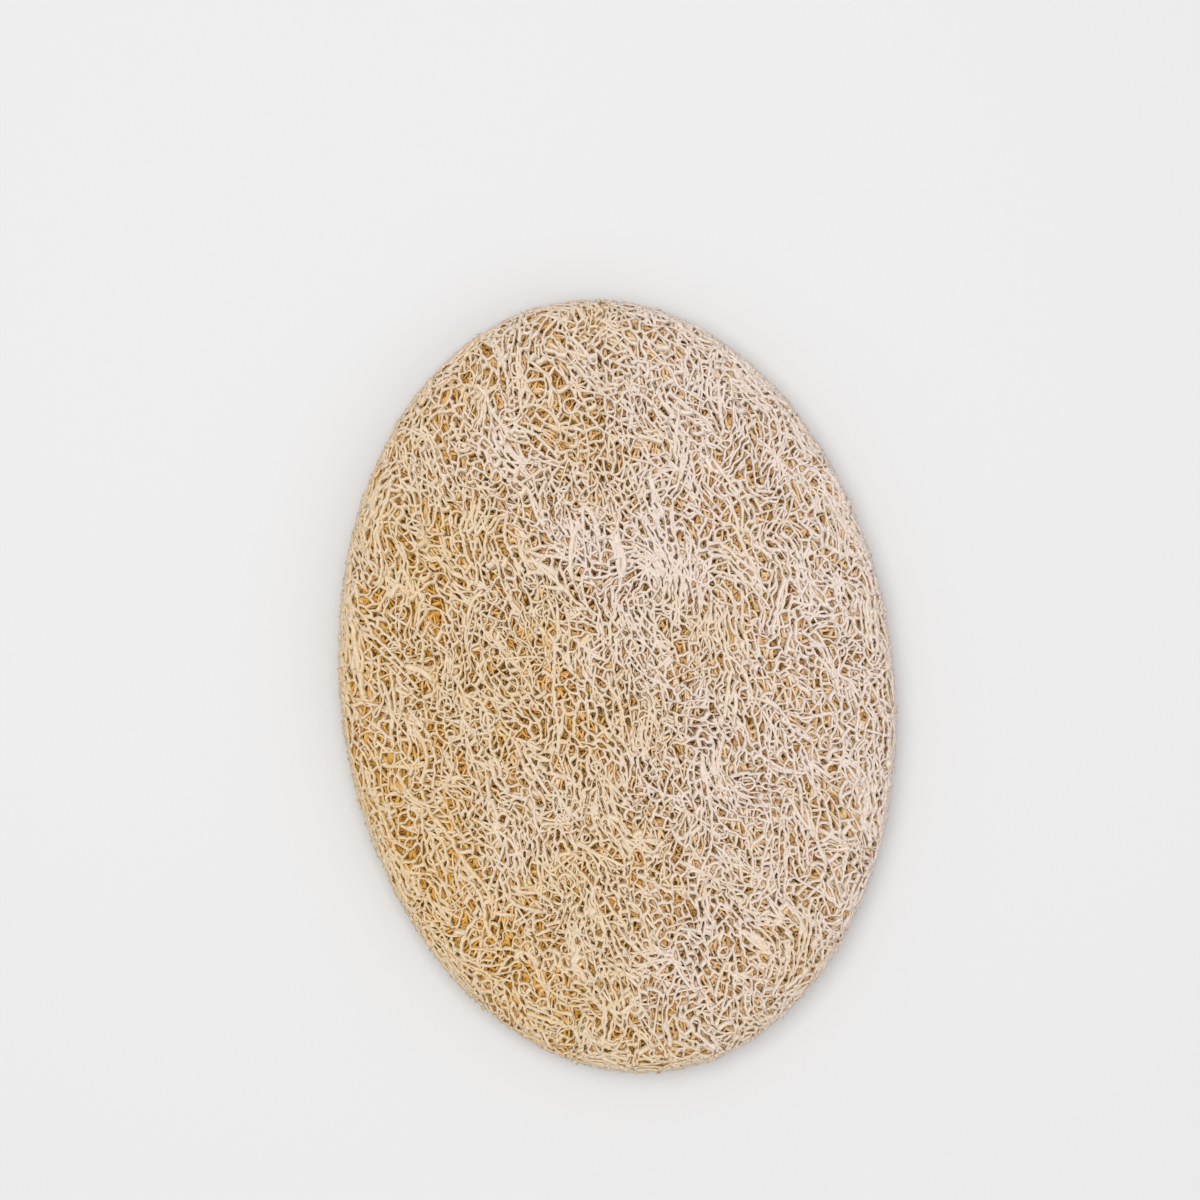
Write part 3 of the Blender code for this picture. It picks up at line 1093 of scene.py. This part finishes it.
def studio():
    """A pale floor, a large soft light overhead with a weak one beside it, and a pale surround."""
    bpy.ops.mesh.primitive_plane_add(size=FLOOR_SIZE)
    floor = bpy.context.object
    floor.name = "floor"
    paint = bpy.data.materials.new("floor_paint")
    paint.use_nodes = True
    coat = paint.node_tree.nodes["Principled BSDF"]
    coat.inputs["Base Color"].default_value = (*FLOOR_PAINT, 1)
    coat.inputs["Roughness"].default_value = 0.9
    floor.data.materials.append(paint)
    for name, place, power in LAMPS:
        lamp = bpy.data.lights.new(name, "AREA")
        lamp.size = LAMP_SIZE
        lamp.energy = power
        light = new_object(name, lamp)
        light.location = place
        light.rotation_euler = (-Vector(place)).to_track_quat("-Z", "Y").to_euler()
    world = bpy.data.worlds.new("surround")
    world.use_nodes = True
    sky = world.node_tree.nodes["Background"]
    sky.inputs["Color"].default_value = (1, 1, 1, 1)
    sky.inputs["Strength"].default_value = SURROUND_STRENGTH
    bpy.context.scene.world = world
    bpy.context.scene.view_settings.view_transform = "Standard"


def camera():
    """Looks straight down, with the pad where the photograph has it."""
    lens = bpy.data.cameras.new("camera")
    lens.lens = LENS
    lens.sensor_width = SENSOR
    eye = new_object("camera", lens)
    right = PIXEL * (PAD_AT_PIXEL[0] - PHOTO_PIXELS / 2)
    down = PIXEL * (PAD_AT_PIXEL[1] - PHOTO_PIXELS / 2)
    eye.rotation_euler = (0, 0, -PAD_LEAN)
    offset = eye.rotation_euler.to_matrix() @ Vector((right, -down, 0))
    distance = PHOTO_PIXELS * PIXEL * LENS / SENSOR
    eye.location = Vector((0, 0, THICKNESS / 2 + distance)) - offset
    lens.clip_start = 0.01
    lens.clip_end = 20
    bpy.context.scene.camera = eye


def main():
    rng = np.random.default_rng(SEED)
    noise.seed_set(SEED)
    groups = (depth_group(), grain_group(), patches_group())
    outer = fibre_material(OUTER_FIBRE, *groups)
    under = fibre_material(UNDER_FIBRE, *groups)
    inner = fibre_material(INNER_FIBRE, *groups)
    face, back = net_paths(OUTER_NET, rng)
    face_net = fibre_piece("face_net", face, OUTER_NET, outer, rng)
    fibre_piece("back_net", back, OUTER_NET._replace(spacing=BACK_SPACING), outer, rng)
    face, back = net_paths(UNDER_NET, rng)
    fibre_piece("face_under_net", face, UNDER_NET, under, rng)
    fibre_piece("back_under_net", back, UNDER_NET, under, rng)
    face, back = net_paths(DEEP_NET, rng)
    fibre_piece("deep_net", face + back, DEEP_NET, inner, rng)
    fibre_piece("short_fibres", short_fibres(SHORT, rng), SHORT, under, rng)
    inner_mat(mat_material(crossing_group()), rng)
    face_strands = loose_strands(FACE, STRANDS, rng) + stars(FACE, STARS, rng)
    face_strands += small_loops(FACE, LOOPS, rng)
    fibre_piece("face_strands", face_strands, STRAND, outer, rng)
    back_strands = loose_strands(BACK, BACK_STRANDS, rng) + stars(BACK, STARS, rng)
    fibre_piece("back_strands", back_strands, STRAND, outer, rng)
    fibre_piece("cut_ends", cut_ends(rng), CUT, outer, rng)
    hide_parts("loofah_pad")


main()
studio()
camera()
